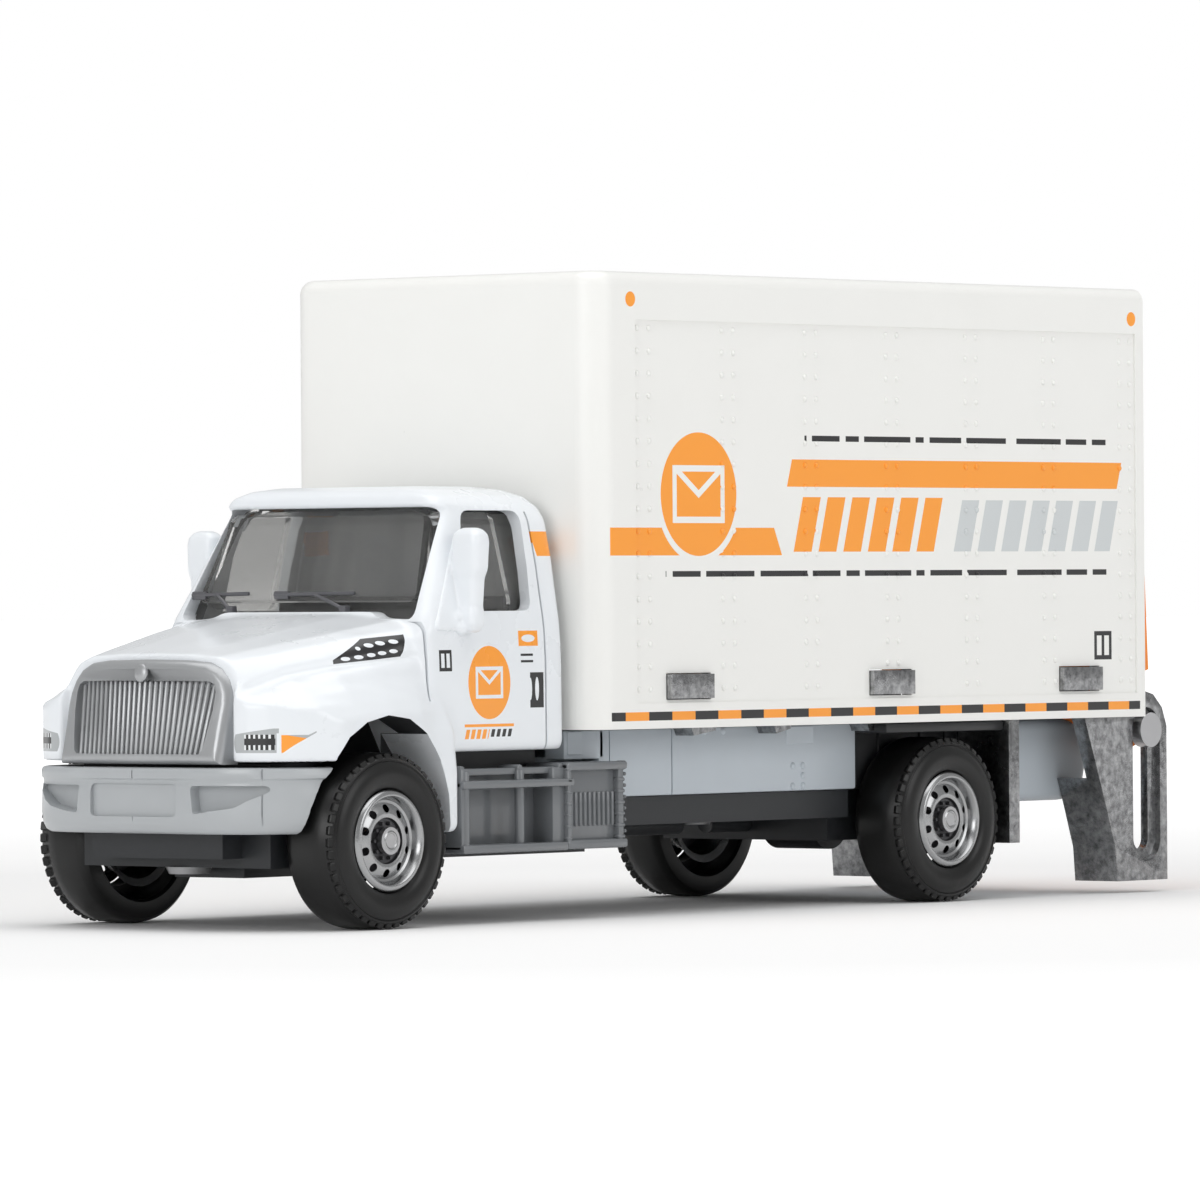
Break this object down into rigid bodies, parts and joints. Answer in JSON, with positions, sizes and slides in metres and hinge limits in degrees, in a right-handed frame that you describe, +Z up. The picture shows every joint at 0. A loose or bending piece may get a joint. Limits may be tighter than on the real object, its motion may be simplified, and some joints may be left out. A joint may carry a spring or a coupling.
{
  "type": "mail delivery truck",
  "caption": "Small die-cast model of a delivery box truck: conventional cab, riveted white cargo box open at the rear, rolling wheels and a working sliding and folding tail lift.",
  "frame": {"origin": "centre of the footprint on the ground under the tyres", "axes": "+Z up, -Y towards the grille, +X towards the driver's side"},
  "size_m": [0.036, 0.1208, 0.0555],
  "materials": {
    "cab_paint": "gloss enamel over a zinc casting",
    "smoked_glazing": "polished smoked plastic",
    "dark_plastic": "matt",
    "white_plastic": "satin moulded",
    "silver_plastic": "silver satin",
    "grey_plastic": "satin",
    "black_plastic": "matt",
    "step_plastic": "matt",
    "light_grey_plastic": "satin",
    "bare_zinc": "tumbled bare zinc alloy",
    "bare_steel": "plain drawn steel",
    "orange_plastic": "satin moulded",
    "tyre_rubber": "soft black",
    "rim_plastic": "silver satin"
  },
  "bodies": {
    "chassis": {"cab_shell": "cab_paint", "windows": "smoked_glazing", "interior": "dark_plastic", "steering_wheel": "dark_plastic", "mirror_left": "white_plastic", "mirror_right": "white_plastic", "grille": "silver_plastic", "bumper": "grey_plastic", "base_moulding": "black_plastic", "step_box_left": "step_plastic", "step_box_right": "step_plastic", "subframe": "light_grey_plastic", "frame_casting": "bare_zinc", "cargo_box": "white_plastic", "base_rivets": "bare_steel", "front_axle": "bare_steel", "rear_axle": "bare_steel"},
    "wheel_front_left": {"tyre_front_left": "tyre_rubber", "rim_front_left": "rim_plastic"},
    "wheel_front_right": {"tyre_front_right": "tyre_rubber", "rim_front_right": "rim_plastic"},
    "wheel_rear_left": {"tyre_rear_left": "tyre_rubber", "rim_rear_left": "rim_plastic"},
    "wheel_rear_right": {"tyre_rear_right": "tyre_rubber", "rim_rear_right": "rim_plastic"},
    "lift_carriage": {"lift_pin": "bare_steel"},
    "platform": {"lift_platform": "orange_plastic"}
  },
  "joints": [
    {"name": "wheel_front_left_spin", "type": "hinge", "parent": "chassis", "child": "wheel_front_left", "pos_m": [0.0143, -0.047, 0.0074], "axis": [1, 0, 0], "continuous": true},
    {"name": "wheel_front_right_spin", "type": "hinge", "parent": "chassis", "child": "wheel_front_right", "pos_m": [-0.0143, -0.047, 0.0074], "axis": [1, 0, 0], "continuous": true},
    {"name": "wheel_rear_left_spin", "type": "hinge", "parent": "chassis", "child": "wheel_rear_left", "pos_m": [0.0143, 0.028, 0.0074], "axis": [1, 0, 0], "continuous": true},
    {"name": "wheel_rear_right_spin", "type": "hinge", "parent": "chassis", "child": "wheel_rear_right", "pos_m": [-0.0143, 0.028, 0.0074], "axis": [1, 0, 0], "continuous": true},
    {"name": "lift_slide", "type": "slide", "parent": "chassis", "child": "lift_carriage", "axis": [0, 0, -1], "range_m": [0, 0.01]},
    {"name": "platform_fold", "type": "hinge", "parent": "lift_carriage", "child": "platform", "pos_m": [0, 0.05725, 0.01495], "axis": [-1, 0, 0], "range_deg": [0, 90]}
  ]
}
